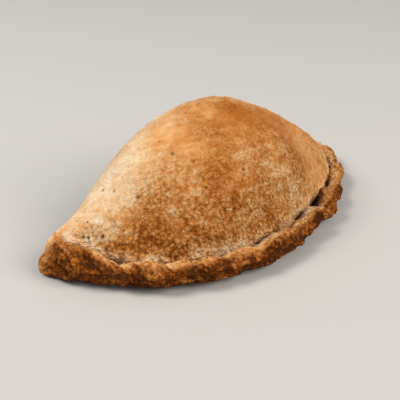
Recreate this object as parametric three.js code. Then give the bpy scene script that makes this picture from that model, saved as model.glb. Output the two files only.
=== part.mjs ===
// A baked calzone: a round of dough folded over its filling, its two edges rolled together
// into a thick twisted rim. Millimetres, +Z up, resting on its flat underside.
//
// +X runs from the blunt tip to the slim tip, -Y is the crimped rim and +Y the folded side.
// The crust is one closed skin. Sections stand across it from tip to tip. Each one joins a
// point of the rim to a point of the fold, and both points lie at the same share of their
// line's length. Round a section run the rolled rim, the crease behind it, the dome, the
// rounded fold and the flat underside. The relief is then pushed out along the skin's normals.

import * as THREE from "three";

// ---- plan: the two tips, the rim's outer line and the line of the fold ----------------------
const BLUNT_TIP_X = -138;
const SLIM_TIP_X = 126;
const RIM_REACH = 93.4; // how far the rim bows out from the line between the tips
const RIM_FULLNESS = 0.532; // exponent of the rim's bow: smaller is squarer at the tips
const RIM_FULLNESS_DRIFT = -0.037; // its change towards the slim tip
const RIM_SKEW = -0.148; // how much less it reaches towards the slim tip
const FOLD_BULGE = [0, 14, 26.5, 18.5, 0]; // the fold's bulge at even steps from tip to tip
const FOLD_ROUNDING = 5; // its quick start at each tip
const PLAN_STEPS = 900; // chords that measure the two lines

// ---- section --------------------------------------------------------------------------------
const RIDGE_SHARES = [0, 0.125, 0.31, 0.53, 0.7, 0.87, 1]; // shares of the length, tip to tip
const RIDGE_HEIGHTS = [14.1, 27.8, 66, 74.4, 56, 30, 14]; // the ridge's height there
const RIDGE_PLACE = 0.667; // the ridge stands this share of the way from crease to fold
const SLIM_SOFTNESS = 0.9; // over 0, the dome rises less steeply from the crease by the slim tip
const TIP_TAPER = 34; // a section narrower than this is lower than its ridge height
const FOLD_HEIGHT = 23.3; // where the fold is widest, above the underside
const FOLD_TUCK = 13; // how far the underside draws in below the fold
const RIDGE_OVER_RIM = 0.66; // least rise of the ridge over the rim's middle, in rim half heights
const RIM_HALF_WIDTH = 7.3;
const RIM_WIDTH_LIMIT = 0.36; // at the tips the half width is at most this share of the section
const RIM_CROSSING_LIMIT = 0.45; // least sine of the angle at which a section crosses the rim
const RIM_PLACES = [0, 9, 20, 29, 40, 52, 64, 80, 320, 360]; // stations along the rim
const RIM_HALF_HEIGHTS = [7.7, 9, 12.4, 10.9, 10.2, 8.9, 7.3, 7.1, 6.9, 5.5]; // half its height there
const RIM_CLEARANCE = 3; // the rim curls up off the surface below it
const UNDER_LIFT_FROM = 0.8; // the share of the underside, from the fold, where that curl begins
const CREASE_ANGLE = 25; // degrees above the rim's middle where the dome meets it
const SLIM_RIM_SCALE = 0.763; // the rim's size past the middle, towards the slim tip
const SLIM_RIM_FROM = 0.55;
const SLIM_RIM_TO = 0.8;
const TIP_KEEL = 5; // the very tips stand this far off the surface
const TIP_KEEL_LENGTH = 12; // and come down over this length

// ---- the rim at the blunt tip: [distance from the tip, reach, share] -----------------------------
const BLUNT_TIP_WIDER = [22, 46, 0.3]; // wider, by this share of its width
const BLUNT_TIP_REST = [22, 30, 0.85]; // down onto the surface, by this share of its clearance

// ---- crimps: [start along the rim, slant across it, swell of this fold of dough] ---------------
const CRIMPS = [
  [0, 0, 0.8],
  [35, 46, 0.8],
  [58, 2, 0.9],
  [87, 18, 0.7],
  [106, 18, 0.5],
  [120, 20, 0.6],
  [142, 24, 0.9],
  [180, -4, 0.9],
  [209, -8, 1.3],
  [235, 0, 1.2],
  [258, 36, 0.9],
  [298, 16, 1.0],
  [332, 12, 0.8],
];
const CRIMP_DEPTH = 3;
const CRIMP_LEVEL = 0.85; // the share of a crimp's depth that lies below the plain rim
const CRIMP_SKEW = 1.8; // over 1, a crimp swells slowly and drops quickly onto the next one
const CRIMP_FULLNESS = 2.5; // over 1, its crest is broad and the valleys are narrow
const CRIMP_PIVOT = 0.6; // the slant turns about this share of the way round the rim
const CRIMPS_BEGIN = [2, 14]; // they fade in over these distances from the blunt tip
const CRIMPS_END = 40; // and fade out over this length at the slim tip
const RIM_RELIEF_FROM = 0.25; // the rim's relief fades in over this share of the way round it

// ---- tears: [place along the rim, half length, depth, half width, distance outward from the crease]
const TEARS = [
  [60, 5, 3.5, 2.8, 0],
  [160, 14, 2.5, 2, 0],
  [193, 4, 4.5, 2.4, 1],
  [222, 8, 11, 3.6, 3],
  [268, 20, 3, 1.8, 0.5],
];
const TEAR_LEAN = 0.5; // a tear leans in under the dome by this share of its depth

// ---- knobs and dents: [place along the rim, place round the section, radius, height] ------------
// The place round the section is 0 to 1 round the rim, then 1 to 2 over the dome.
const KNOBS = [
  [86, 0.85, 6, -2],
  [127, 1.06, 8, 1.8],
  [150, 0.35, 13, 2.2],
  [200, 0.22, 9, -1.8],
  [201, 0.54, 5, 2.2],
  [225, 0.3, 8, 2],
  [232, 0.86, 3.5, 3],
  [240, 0.5, 6, 1.2],
  [258, 1.33, 7, 2.5],
];
const RIM_GIRTH = 42; // about the length of the skin round the rim
const DOME_GIRTH = 150; // and over the dome

// ---- uneven dough: sizes of the swells and how far they stand out -------------------------------
const WAVE_SIZE = 46;
const WAVE_HEIGHT = 1.5;
const LUMP_SIZE = 15;
const LUMP_HEIGHT = 0.6;
const RIM_LUMP_HEIGHT = 1;
const PUCKER_PITCH = 7.5; // small gathers in the skin above the crease
const PUCKER_HEIGHT = 1.1;
const PUCKER_REACH = 8; // they fade out over this distance from the crease
const PUCKER_CLEARANCE = 3; // and fade in over this one
const PUCKER_DRIFT = 5; // how far their rhythm drifts, in radians
const PUCKER_DRIFT_SIZE = 20;
const PUCKER_PATCH_SIZE = 25; // size of the patches where they are stronger or weaker
const SEEDS = { waves: 3, puckerDrift: 5, puckerPatches: 7, lumps: 11, octave: 17 };

// ---- grid ---------------------------------------------------------------------------------------
const SECTIONS = 114;
const RIM_STEPS = 14;
const DOME_STEPS = 24;
const FOLD_STEPS = 4;
const UNDER_STEPS = 4;
const TIP_DENSITY = 0.35; // share of the sections that crowd towards the tips
const CREASE_DENSITY = 1.15; // over 1, the dome's points crowd towards the crease

const CRUST_COLOUR = 0xb9783f;

// ---- small tools ----------------------------------------------------------------------------------
const clamp = THREE.MathUtils.clamp;
const smooth = (low, high, x) => THREE.MathUtils.smoothstep(x, low, high);
const bell = (x, centre, reach) => Math.exp(-(((x - centre) / reach) ** 2));
const quarter = (x) => Math.sqrt(Math.max(1 - (1 - clamp(x, 0, 1)) ** 2, 0)); // a quarter circle's rise

// A smooth curve through stations: cubic pieces whose slopes come from the neighbours.
function curveThrough(places, values, x) {
  const last = places.length - 1;
  const slope = (k) => {
    const before = Math.max(k - 1, 0);
    const after = Math.min(k + 1, last);
    return (values[after] - values[before]) / (places[after] - places[before]);
  };
  let k = 0;
  while (k < last - 1 && x >= places[k + 1]) k += 1;
  const span = places[k + 1] - places[k];
  const t = (x - places[k]) / span;
  const [t2, t3] = [t * t, t * t * t];
  return (
    (2 * t3 - 3 * t2 + 1) * values[k] +
    (t3 - 2 * t2 + t) * span * slope(k) +
    (3 * t2 - 2 * t3) * values[k + 1] +
    (t3 - t2) * span * slope(k + 1)
  );
}

// A fixed pseudo-random value from 0 to 1 for each corner of a lattice.
const HASH_FACTORS = [73856093, 19349663, 83492791, 2654435761];
function latticeValue(...corner) {
  let h = corner.reduce((mixed, n, k) => mixed ^ Math.imul(n, HASH_FACTORS[k]), 0);
  h ^= h >>> 13;
  h = Math.imul(h, 1274126177);
  h ^= h >>> 16;
  h = Math.imul(h, 2246822519);
  h ^= h >>> 15;
  return (h >>> 0) / 4294967296;
}

// Smooth swells from -1 to 1, with cells of the given size.
function swells(point, size, seed) {
  const cell = point.clone().divideScalar(size);
  const corner = cell.clone().floor();
  const ease = cell.sub(corner).toArray().map((f) => f * f * f * (f * (f * 6 - 15) + 10));
  let sum = 0;
  for (let n = 0; n < 8; n += 1) {
    const step = [n & 1, (n >> 1) & 1, (n >> 2) & 1];
    const weight = step.reduce((w, on, axis) => w * (on ? ease[axis] : 1 - ease[axis]), 1);
    const [x, y, z] = corner.toArray().map((n, axis) => n + step[axis]);
    sum += weight * latticeValue(x, y, z, seed);
  }
  return 2 * sum - 1;
}

// Two octaves of swells, the finer one half as high.
const unevenness = (point, size, seed) =>
  (swells(point, size, seed) + 0.5 * swells(point, size / 2, seed + SEEDS.octave)) / 1.5;

// ---- plan lines -----------------------------------------------------------------------------------
const HALF_LENGTH = (SLIM_TIP_X - BLUNT_TIP_X) / 2;
const MIDDLE_X = (SLIM_TIP_X + BLUNT_TIP_X) / 2;
const BULGE_PLACES = FOLD_BULGE.map((_, k) => -1 + (2 * k) / (FOLD_BULGE.length - 1));

// Both lines at the angle theta, which runs from 0 at the blunt tip to pi at the slim tip.
function planPoints(theta) {
  const along = -Math.cos(theta);
  const bow = Math.sin(theta) ** 2;
  const x = MIDDLE_X + HALF_LENGTH * along;
  const reach = RIM_REACH * bow ** (RIM_FULLNESS + RIM_FULLNESS_DRIFT * along) * (1 + RIM_SKEW * along);
  const bulge = curveThrough(BULGE_PLACES, FOLD_BULGE, along) + FOLD_ROUNDING * Math.sqrt(bow);
  return { rim: new THREE.Vector2(x, -reach), fold: new THREE.Vector2(x, bulge) };
}

// A measured line that gives the point at any share of its length.
function measuredLine(points) {
  const reached = [0];
  for (let k = 1; k < points.length; k += 1) {
    reached.push(reached[k - 1] + points[k].distanceTo(points[k - 1]));
  }
  const length = reached.at(-1);
  const at = (share) => {
    const goal = share * length;
    let k = 1;
    while (k < points.length - 1 && reached[k] < goal) k += 1;
    const t = (goal - reached[k - 1]) / (reached[k] - reached[k - 1]);
    return points[k - 1].clone().lerp(points[k], t);
  };
  return { length, at };
}

const steps = Array.from({ length: PLAN_STEPS + 1 }, (_, k) => planPoints((Math.PI * k) / PLAN_STEPS));
const rimLine = measuredLine(steps.map((step) => step.rim));
const foldLine = measuredLine(steps.map((step) => step.fold));

// ---- one section ------------------------------------------------------------------------------------
// Its points as { out, up, zone, share }: out is the distance from the rim's outer line towards
// the fold, up the height, zone the stretch of skin, and share how far along that stretch it is.
function sectionAt(share, width, stretch) {
  const place = share * rimLine.length;
  const toTip = Math.min(place, rimLine.length - place);
  const taper = quarter(width / TIP_TAPER);
  const near = ([at, reach, share]) => share * bell(place, at, reach);
  const size = 1 - (1 - SLIM_RIM_SCALE) * smooth(SLIM_RIM_FROM, SLIM_RIM_TO, share);
  const halfWidth = Math.min(
    RIM_HALF_WIDTH * size * stretch * (1 + near(BLUNT_TIP_WIDER)),
    RIM_WIDTH_LIMIT * width,
  );
  const halfHeight = curveThrough(RIM_PLACES, RIM_HALF_HEIGHTS, place) * size * taper;
  const clearance = RIM_CLEARANCE * taper * (1 - near(BLUNT_TIP_REST));
  const middle = clearance + halfHeight;
  const ridge = Math.max(
    curveThrough(RIDGE_SHARES, RIDGE_HEIGHTS, share) * taper,
    middle + RIDGE_OVER_RIM * halfHeight,
  );
  const foldHeight = Math.min(FOLD_HEIGHT, ridge / 2);
  const tuck = Math.min(FOLD_TUCK, width / 4);
  const keel = TIP_KEEL * (1 - quarter(toTip / TIP_KEEL_LENGTH));
  const points = [];
  const add = (out, up, zone, part) => points.push({ out, up: up + keel, zone, share: part });

  for (let k = 0; k <= RIM_STEPS; k += 1) {
    const angle = THREE.MathUtils.degToRad(-90 - (k / RIM_STEPS) * (270 - CREASE_ANGLE));
    add(halfWidth * (1 + Math.cos(angle)), middle + halfHeight * Math.sin(angle), "rim", k / RIM_STEPS);
  }
  const crease = points.at(-1);
  const creaseUp = crease.up - keel;
  const ridgeOut = crease.out + (width - crease.out) * RIDGE_PLACE;
  const steepness = 1 + SLIM_SOFTNESS * smooth(SLIM_RIM_FROM, SLIM_RIM_TO, share);
  for (let k = 1; k <= DOME_STEPS; k += 1) {
    const part = (k / DOME_STEPS) ** CREASE_DENSITY;
    const angle = Math.PI * part;
    if (angle <= Math.PI / 2) {
      add(
        ridgeOut - (ridgeOut - crease.out) * Math.cos(angle),
        creaseUp + (ridge - creaseUp) * Math.sin(angle) ** steepness,
        "dome",
        part,
      );
    } else {
      add(
        ridgeOut - (width - ridgeOut) * Math.cos(angle),
        foldHeight + (ridge - foldHeight) * Math.sin(angle),
        "dome",
        part,
      );
    }
  }
  for (let k = 1; k <= FOLD_STEPS; k += 1) {
    const angle = ((Math.PI / 2) * k) / FOLD_STEPS;
    add(width - tuck * (1 - Math.cos(angle)), foldHeight * (1 - Math.sin(angle)), "fold", k / FOLD_STEPS);
  }
  const [innerOut, outerOut] = [width - tuck, points[0].out];
  for (let k = 1; k < UNDER_STEPS; k += 1) {
    const part = k / UNDER_STEPS;
    add(innerOut + (outerOut - innerOut) * part, clearance * smooth(UNDER_LIFT_FROM, 1, part), "under", part);
  }
  return points;
}

// ---- the plain skin: a grid of points, sections by points round the section ---------------------------
function plainSkin() {
  const shares = Array.from({ length: SECTIONS + 1 }, (_, i) => {
    const even = i / SECTIONS;
    return TIP_DENSITY * (0.5 - 0.5 * Math.cos(Math.PI * even)) + (1 - TIP_DENSITY) * even;
  });
  const rims = shares.map(rimLine.at);
  const folds = shares.map(foldLine.at);
  const widths = rims.map((rim, i) => rim.distanceTo(folds[i]));
  return shares.map((share, i) => {
    const inner = clamp(i, 1, SECTIONS - 1);
    const inward = folds[inner].clone().sub(rims[inner]).normalize();
    const travel = rims[Math.min(i + 1, SECTIONS)].clone().sub(rims[Math.max(i - 1, 0)]).normalize();
    const stretch = 1 / Math.max(inward.y * travel.x - inward.x * travel.y, RIM_CROSSING_LIMIT);
    return sectionAt(share, widths[i], stretch).map((point) => ({
      ...point,
      inward,
      place: share * rimLine.length,
      taper: quarter(widths[i] / TIP_TAPER),
      at: new THREE.Vector3(rims[i].x + inward.x * point.out, rims[i].y + inward.y * point.out, point.up),
    }));
  });
}

// The skin's outward normal at a grid point, from its four neighbours.
function normalAt(skin, i, j) {
  const round = skin[i].length;
  const onward = skin[Math.min(i + 1, SECTIONS)][j].at.clone().sub(skin[Math.max(i - 1, 0)][j].at);
  const around = skin[i][(j + 1) % round].at.clone().sub(skin[i][(j + round - 1) % round].at);
  return onward.cross(around).normalize();
}

// ---- relief ---------------------------------------------------------------------------------------------
// How far a fold of the rolled rim stands out: a broad hump between narrow valleys.
function crimpHeight(place, share) {
  const slanted = (slant) => place + slant * (share - CRIMP_PIVOT);
  let k = 0;
  while (k < CRIMPS.length - 1 && slanted(CRIMPS[k + 1][1]) >= CRIMPS[k + 1][0]) k += 1;
  const [start, slant, swell] = CRIMPS[k];
  const end = k + 1 < CRIMPS.length ? CRIMPS[k + 1][0] : rimLine.length;
  const along = clamp((slanted(slant) - start) / (end - start), 0, 1);
  const rise = 1 - Math.abs(2 * along ** CRIMP_SKEW - 1) ** CRIMP_FULLNESS;
  return CRIMP_DEPTH * swell * (rise - CRIMP_LEVEL);
}

// Height of the relief along the normal at one point, for a section whose crease is given.
function reliefHeight(point, crease) {
  const { at, place, share, taper, zone } = point;
  const lumps = unevenness(at, LUMP_SIZE, SEEDS.lumps);
  if (zone === "rim") {
    const ends = smooth(...CRIMPS_BEGIN, place) * smooth(0, CRIMPS_END, rimLine.length - place);
    const height = crimpHeight(place, share) * ends + RIM_LUMP_HEIGHT * lumps * taper;
    return smooth(0, RIM_RELIEF_FROM, share) * height;
  }
  const waves = WAVE_HEIGHT * unevenness(at, WAVE_SIZE, SEEDS.waves) + LUMP_HEIGHT * lumps;
  if (zone === "fold") return waves * taper * (1 - share ** 2);
  const distance = at.distanceTo(crease.at);
  const drift = swells(new THREE.Vector3(place, 0, 0), PUCKER_DRIFT_SIZE, SEEDS.puckerDrift);
  const phase = (2 * Math.PI * place) / PUCKER_PITCH + PUCKER_DRIFT * drift;
  const patches = 0.6 + 0.4 * swells(at, PUCKER_PATCH_SIZE, SEEDS.puckerPatches);
  const strength = patches * smooth(0, PUCKER_CLEARANCE, distance) * Math.exp(-distance / PUCKER_REACH);
  return waves * taper + PUCKER_HEIGHT * Math.sin(phase) * strength;
}

// Knobs stand out along the normal as round bells, and dents go in.
function knobHeight(point) {
  const round = point.zone === "rim" ? point.share : 1 + point.share;
  return KNOBS.reduce((height, [place, where, radius, rise]) => {
    const sideways = (round - where) * (where > 1 ? DOME_GIRTH : RIM_GIRTH);
    return height + rise * Math.exp(-((point.place - place) ** 2 + sideways ** 2) / radius ** 2);
  }, 0);
}

// Tears pull the skin down and in under the dome, along the crease or a little outward from it.
function tearShift(point, crease) {
  const shift = new THREE.Vector3();
  for (const [place, halfLength, depth, halfWidth, outward] of TEARS) {
    const offset = new THREE.Vector3(crease.inward.x, crease.inward.y, 0).multiplyScalar(-outward);
    const distance = point.at.distanceTo(offset.add(crease.at));
    const along = Math.exp(-(((point.place - place) / halfLength) ** 4));
    const pull = depth * along * bell(distance, 0, halfWidth);
    shift.add(new THREE.Vector3(TEAR_LEAN * pull * point.inward.x, TEAR_LEAN * pull * point.inward.y, -pull));
  }
  return shift;
}

function raisedSkin(skin) {
  return skin.map((section, i) => {
    const crease = section[RIM_STEPS];
    return section.map((point, j) => {
      if (point.zone === "under") return point.at.clone();
      const height = reliefHeight(point, crease) + (point.zone === "fold" ? 0 : knobHeight(point));
      const raised = point.at.clone().addScaledVector(normalAt(skin, i, j), height);
      if (point.zone !== "fold") raised.add(tearShift(point, crease));
      raised.z = Math.max(raised.z, 0);
      return raised;
    });
  });
}

// ---- the closed mesh: rings of points between one point at each tip -------------------------------------
function closedGeometry(grid) {
  const rings = grid.slice(1, -1);
  const round = rings[0].length;
  const positions = [grid[0][0], ...rings.flat(), grid.at(-1)[0]].flatMap((point) => point.toArray());
  const lastTip = 1 + rings.length * round;
  const id = (ring, j) => 1 + ring * round + (j % round);
  const faces = [];
  for (let j = 0; j < round; j += 1) {
    faces.push(0, id(0, j), id(0, j + 1));
    for (let ring = 0; ring < rings.length - 1; ring += 1) {
      faces.push(id(ring, j), id(ring + 1, j), id(ring + 1, j + 1));
      faces.push(id(ring, j), id(ring + 1, j + 1), id(ring, j + 1));
    }
    faces.push(id(rings.length - 1, j), lastTip, id(rings.length - 1, j + 1));
  }
  const geometry = new THREE.BufferGeometry();
  geometry.setAttribute("position", new THREE.Float32BufferAttribute(positions, 3));
  geometry.setIndex(faces);
  return geometry;
}

// The origin is the middle of the bounding box, on the surface that the calzone rests on.
function centredOnBase(geometry) {
  geometry.computeBoundingBox();
  const middle = geometry.boundingBox.getCenter(new THREE.Vector3());
  geometry.translate(-middle.x, -middle.y, -geometry.boundingBox.min.z);
  geometry.computeVertexNormals();
  return geometry;
}

const crust = new THREE.MeshStandardMaterial({ color: CRUST_COLOUR, roughness: 0.6, metalness: 0 });
const calzone = new THREE.Mesh(centredOnBase(closedGeometry(raisedSkin(plainSkin()))), crust);
calzone.name = "calzone";

const dish = new THREE.Group();
dish.add(calzone);

export default dish;
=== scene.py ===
# %% [markdown]
# # A baked calzone
#
# A calzone is a round of pizza dough folded over its filling. The two edges are rolled together
# into a thick twisted rim, and the oven blows the skin up into a dome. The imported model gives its
# plain solid. This script dresses that solid with the crust itself: the same form on a much finer
# grid, with the pits, blisters and crumbs of baked dough, and a finish that runs from pale dough
# to dark toast. All sizes are in millimetres until the mesh is made, which is in metres.

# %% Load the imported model
import math

import bpy
import numpy as np
from mathutils import Matrix, Vector


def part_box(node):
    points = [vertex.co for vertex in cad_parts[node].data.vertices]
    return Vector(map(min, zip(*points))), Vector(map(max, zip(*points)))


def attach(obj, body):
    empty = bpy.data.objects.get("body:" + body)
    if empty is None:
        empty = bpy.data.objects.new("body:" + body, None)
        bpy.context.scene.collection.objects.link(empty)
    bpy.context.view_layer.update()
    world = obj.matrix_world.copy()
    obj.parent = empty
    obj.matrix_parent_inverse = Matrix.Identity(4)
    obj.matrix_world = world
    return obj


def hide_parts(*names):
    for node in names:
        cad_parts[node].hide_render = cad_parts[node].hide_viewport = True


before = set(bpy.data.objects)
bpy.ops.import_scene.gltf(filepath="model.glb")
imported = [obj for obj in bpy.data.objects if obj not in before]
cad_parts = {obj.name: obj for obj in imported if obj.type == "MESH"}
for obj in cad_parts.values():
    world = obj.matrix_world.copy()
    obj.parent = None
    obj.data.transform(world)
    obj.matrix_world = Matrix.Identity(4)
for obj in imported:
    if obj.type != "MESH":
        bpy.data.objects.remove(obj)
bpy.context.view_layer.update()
MM = 0.001
print("packed nodes:", sorted(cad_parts))

# %% [markdown]
# ## Small tools
#
# The crust could be sculpted, or carved from a ball by modifiers. Here it is worked out by
# formulas on whole numpy arrays, so that every form has a size that can be read and changed. A
# smooth step, a bell and a quarter circle shape most of the profiles, and a curve through
# stations gives the heights from tip to tip.


# %% Steps, bells and curves
def smooth(low, high, x):
    """0 below low, 1 above high, and t²(3 - 2t) between them."""
    t = np.clip((x - low) / (high - low), 0, 1)
    return t * t * (3 - 2 * t)


def bell(x, centre, reach):
    """exp(-((x - centre) / reach)²): 1 at the centre, 0.37 at one reach away."""
    return np.exp(-(((x - centre) / reach) ** 2))


def quarter(x):
    """The height of a quarter circle: sqrt(1 - (1 - x)²), with x held from 0 to 1."""
    return np.sqrt(np.maximum(1 - (1 - np.clip(x, 0, 1)) ** 2, 0))


def curve_through(places, values, x):
    """A cubic between each two stations, whose slopes come from the neighbouring stations."""
    places, values = np.asarray(places, float), np.asarray(values, float)
    last = len(places) - 1
    before, after = np.maximum(np.arange(last + 1) - 1, 0), np.minimum(np.arange(last + 1) + 1, last)
    slopes = (values[after] - values[before]) / (places[after] - places[before])
    k = np.clip(np.searchsorted(places, x, side="right") - 1, 0, last - 1)
    span = places[k + 1] - places[k]
    t = (x - places[k]) / span
    rise = 3 * t**2 - 2 * t**3
    bend = (t**3 - 2 * t**2 + t) * slopes[k] + (t**3 - t**2) * slopes[k + 1]
    return (1 - rise) * values[k] + rise * values[k + 1] + span * bend


# %% [markdown]
# Dough is uneven at every size. A lattice of fixed pseudo-random values, eased between its
# corners, gives smooth swells. Nothing here is drawn from a random generator that could change
# between runs: the value at a corner is a hash of the corner's place. Each pattern has a seed of
# its own, so that no two of them follow each other.

# %% Seeds of the patterns
SEED = dict(
    waves=3,
    pucker_phase=5,
    gathers=7,
    lumps=11,
    pits=21,
    blisters=31,
    pebble_patches=41,
    pebbles=51,
    streaks=61,
    straws=63,
    fibres=65,
    crumbs=71,
    small_crumbs=73,
    crust_bits=75,
    grit=81,
    low_mottle=89,
    broad_mottle=91,
    mottle=93,
    small_mottle=95,
    rim_mottle=97,
    under_mottle=99,
    painted_bounce=101,
    coarseness=111,
    cracks=113,
    fold_patches=115,
    far_mottle=117,
)
FINER_SEED_STEP = 17


# %% Uneven dough: swells on a lattice
AXIS_PRIMES = (73856093, 19349663, 83492791)
SEED_PRIME = 2654435761
MIXING = [(13, 1274126177), (16, 2246822519)]  # bits to shift, and a number to multiply by
LAST_SHIFT = 15


def lattice_value(corner, seed):
    """A hash of three whole numbers and a seed, as a value from 0 to 1."""
    h = np.uint32(seed * SEED_PRIME % 2**32)
    for axis, prime in enumerate(AXIS_PRIMES):
        h = h ^ (corner[..., axis].astype(np.int64).astype(np.uint32) * np.uint32(prime))
    for shift, prime in MIXING:
        h = (h ^ (h >> np.uint32(shift))) * np.uint32(prime)
    return (h ^ (h >> np.uint32(LAST_SHIFT))) / 2.0**32


def swells(points, size, seed):
    """Smooth noise from -1 to 1: the eight corner values of a cell, blended by eased distances."""
    cell = points / size
    corner = np.floor(cell)
    f = cell - corner
    ease = f**3 * (f * (f * 6 - 15) + 10)
    total = 0
    for step in np.ndindex(2, 2, 2):
        weight = np.prod(np.where(step, ease, 1 - ease), axis=-1)
        total = total + weight * lattice_value(corner + step, seed)
    return 2 * total - 1


def unevenness(points, size, seed):
    """Two octaves of swells, the finer one half as high."""
    finer = swells(points, size / 2, seed + FINER_SEED_STEP)
    return (swells(points, size, seed) + 0.5 * finer) / 1.5


def ridged(points, size, seed):
    """1 - 2|n| of the swells n, which gives sharp crests between round hollows, from -1 to 1."""
    return 1 - 2 * np.abs(swells(points, size, seed))


# %% Spots: round bells scattered through space
def spots(points, cell_size, radius, seed, share=1.0):
    """For each point, the tallest of the round spots near it, from 0 to 1.

    Space is cut into cells, each with one spot at a hashed place and of a hashed radius, from
    half of the given radius up to all of it. Only the given share of the cells hold one. A spot's
    height is (1 - d²)² for d, the distance in radii, so it fades smoothly to nothing.
    """
    home = np.floor(points / cell_size)
    best = np.zeros(points.shape[:-1])
    for step in np.ndindex(3, 3, 3):
        corner = home + np.array(step) - 1
        centre = np.stack([corner[..., a] + lattice_value(corner, seed + a) for a in range(3)], -1)
        reach = radius * (0.5 + 0.5 * lattice_value(corner, seed + 3))
        d2 = np.sum((points - centre * cell_size) ** 2, axis=-1) / reach**2
        held = lattice_value(corner, seed + 4) < share
        best = np.maximum(best, np.where(held, np.maximum(1 - d2, 0) ** 2, 0))
    return best


# %% [markdown]
# ## The plan: rim and fold
#
# Two lines bound the calzone as seen from above. The rim bows out in front, less towards the slim
# tip, and the fold bulges a little behind. Their sizes are those of the solid. A row of hand-set
# points would do as well, but a power of a sine gives a clean bow from two numbers. Both lines
# are measured, because a section joins points at equal shares of the two lengths.

# %% Plan sizes
BLUNT_TIP_X, SLIM_TIP_X = -138, 126
RIM_REACH = 93.4
RIM_FULLNESS, RIM_FULLNESS_DRIFT = 0.532, -0.037  # a power of sin², and its change by the slim tip
RIM_SKEW = -0.148  # the bow is this much less at the slim tip, and more at the blunt one
FOLD_BULGE = [0, 14, 26.5, 18.5, 0]  # at even stations from tip to tip
FOLD_ROUNDING = 5
PLAN_STEPS = 900


# %% The two plan lines
def plan_lines():
    """Both lines at even angles: x runs as -cos(angle), and the reach as a power of sin²(angle)."""
    angle = np.linspace(0, np.pi, PLAN_STEPS + 1)
    along, bow = -np.cos(angle), np.sin(angle) ** 2
    x = (BLUNT_TIP_X + SLIM_TIP_X) / 2 + (SLIM_TIP_X - BLUNT_TIP_X) / 2 * along
    reach = RIM_REACH * bow ** (RIM_FULLNESS + RIM_FULLNESS_DRIFT * along) * (1 + RIM_SKEW * along)
    bulge = curve_through(np.linspace(-1, 1, len(FOLD_BULGE)), FOLD_BULGE, along)
    bulge = bulge + FOLD_ROUNDING * np.sqrt(bow)
    return np.stack([x, -reach], 1), np.stack([x, bulge], 1)


def at_shares(line, shares):
    """The points at these shares of a line's length, and the length itself."""
    reached = np.concatenate([[0], np.cumsum(np.linalg.norm(np.diff(line, axis=0), axis=1))])
    points = np.stack([np.interp(shares * reached[-1], reached, line[:, axis]) for axis in (0, 1)], 1)
    return points, reached[-1]


# %% Sections from tip to tip
SECTIONS = 400
TIP_DENSITY = 0.35  # 0 sets the sections at even steps, and 1 crowds them as a cosine at the tips
even = np.linspace(0, 1, SECTIONS + 1)
share = TIP_DENSITY * (0.5 - 0.5 * np.cos(np.pi * even)) + (1 - TIP_DENSITY) * even
rim_line, fold_line = plan_lines()
rim, rim_length = at_shares(rim_line, share)
fold, fold_length = at_shares(fold_line, share)
place = share * rim_length
width = np.linalg.norm(fold - rim, axis=1)
inward = (fold - rim) / np.maximum(width, 1e-9)[:, None]
inward[0], inward[-1] = inward[1], inward[-2]
print(f"rim {rim_length:.0f} mm, fold {fold_length:.0f} mm, widest section {width.max():.0f} mm")

# %% [markdown]
# ## The sections
#
# Round each section run the rolled rim, an upright ellipse, then the crease, the dome of two
# quarter ellipses that meet at the ridge, the rounded fold and the flat underside. At the blunt tip
# the rim is a tall folded face that reaches up to the ridge, and from there on it is an even rope.
# One grid holds them all, so the skin has no joins to hide.

# %% Section sizes
RIDGE_SHARES = [0, 0.125, 0.31, 0.53, 0.7, 0.87, 1]
RIDGE_HEIGHTS = [14.1, 27.8, 66, 74.4, 56, 30, 14]
RIDGE_PLACE = 0.667  # the share of the way from the crease to the fold where the dome is highest
RIDGE_OVER_RIM = 0.66  # the least height of the ridge above the rope's middle, in its half heights
SLIM_SOFTNESS = 0.9  # what the power of the dome's front gains at the slim tip
TIP_TAPER = 34  # sections narrower than this are lower too
FOLD_HEIGHT, FOLD_TUCK = 23.3, 13
RIM_HALF_WIDTH = 7.3
RIM_PLACES = [0, 9, 20, 29, 40, 52, 64, 80, 320, 360]
RIM_HALF_HEIGHTS = [7.7, 9, 12.4, 10.9, 10.2, 8.9, 7.3, 7.1, 6.9, 5.5]
RIM_CLEARANCE = 3  # the rope curls up this far off the floor
RIM_WIDTH_LIMIT = 0.36  # the most that its half width may be of a section's width
LEAST_ACROSS = 0.45  # keeps the rope from swelling where the sections cut it at a low angle
CREASE_ANGLE = 25  # degrees above level, at which the rope meets the dome
SLIM_RIM_SCALE, SLIM_RIM_FROM, SLIM_RIM_TO = 0.763, 0.55, 0.8
TIP_KEEL, TIP_KEEL_LENGTH = 5, 12  # each tip's lift off the floor, and the length it takes to sink
# Near the blunt tip the rope is wider by one share, and loses the other share of its clearance.
BLUNT_WIDER, BLUNT_WIDER_AT, BLUNT_WIDER_REACH = 0.3, 22, 46
BLUNT_REST, BLUNT_REST_AT, BLUNT_REST_REACH = 0.85, 22, 30
UNDERSIDE_RISE = (0.8, 1)  # where the underside curls up to the rope's foot
RIM_STEPS, DOME_STEPS, FOLD_STEPS, UNDER_STEPS = 48, 170, 8, 8
CREASE_DENSITY = 1.25  # a power that crowds the dome's columns towards the crease
taper = quarter(width / TIP_TAPER)
slimming = smooth(SLIM_RIM_FROM, SLIM_RIM_TO, share)


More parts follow.
